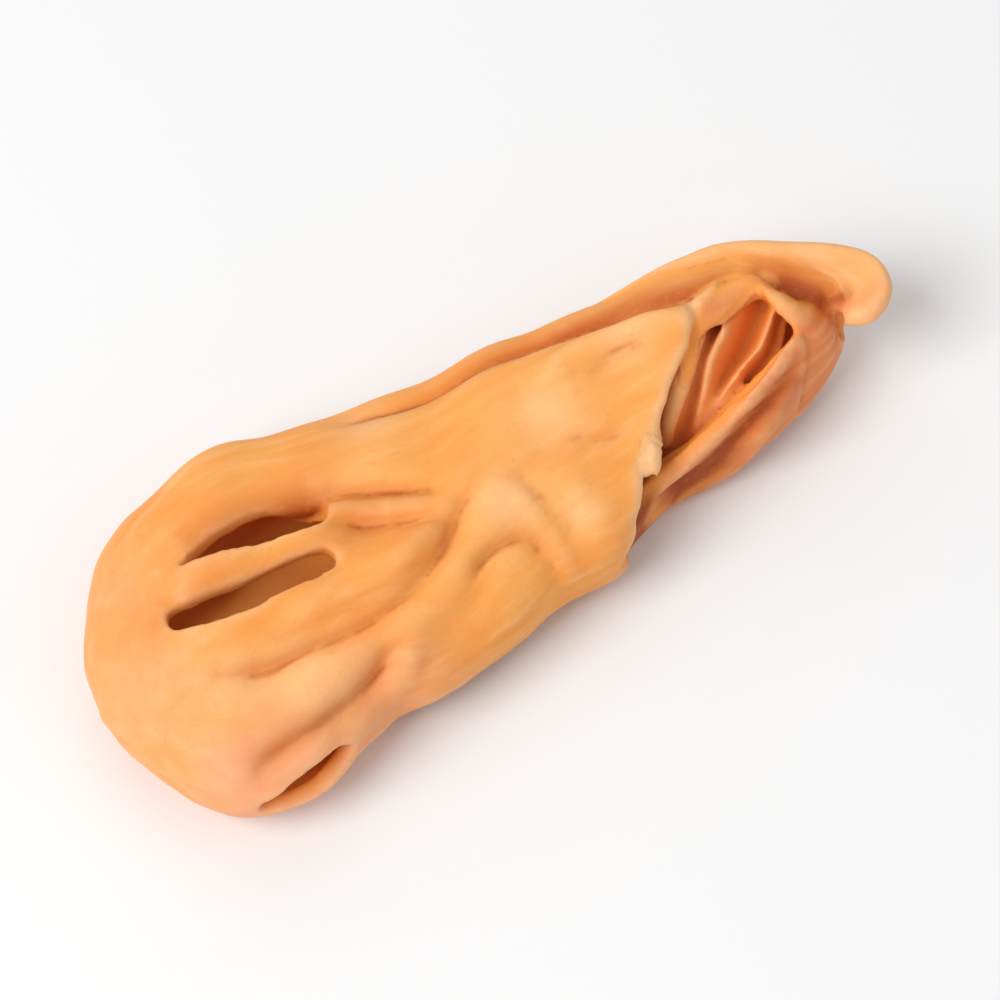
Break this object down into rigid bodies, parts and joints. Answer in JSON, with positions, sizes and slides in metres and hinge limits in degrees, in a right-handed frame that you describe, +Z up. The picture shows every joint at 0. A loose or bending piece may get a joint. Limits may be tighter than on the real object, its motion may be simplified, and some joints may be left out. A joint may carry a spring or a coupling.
{
  "type": "dried nutmeg aril",
  "caption": "Whole dried mace blade: a flattened hollow sheath with a rounded closed base, lens-shaped slits, a torn slanting mouth and a hooked tip.",
  "frame": {"origin": "middle of the blade's plan outline, on the surface it lies on", "axes": "+X from the rounded base along the blade to the hooked tip, +Y across it towards the rolled rim, +Z up, square to the surface it lies on"},
  "size_m": [0.0473, 0.0202, 0.0081],
  "materials": {
    "aril": "dry, slightly waxy, satin"
  },
  "bodies": {
    "root": {"aril": "aril"}
  },
  "joints": []
}
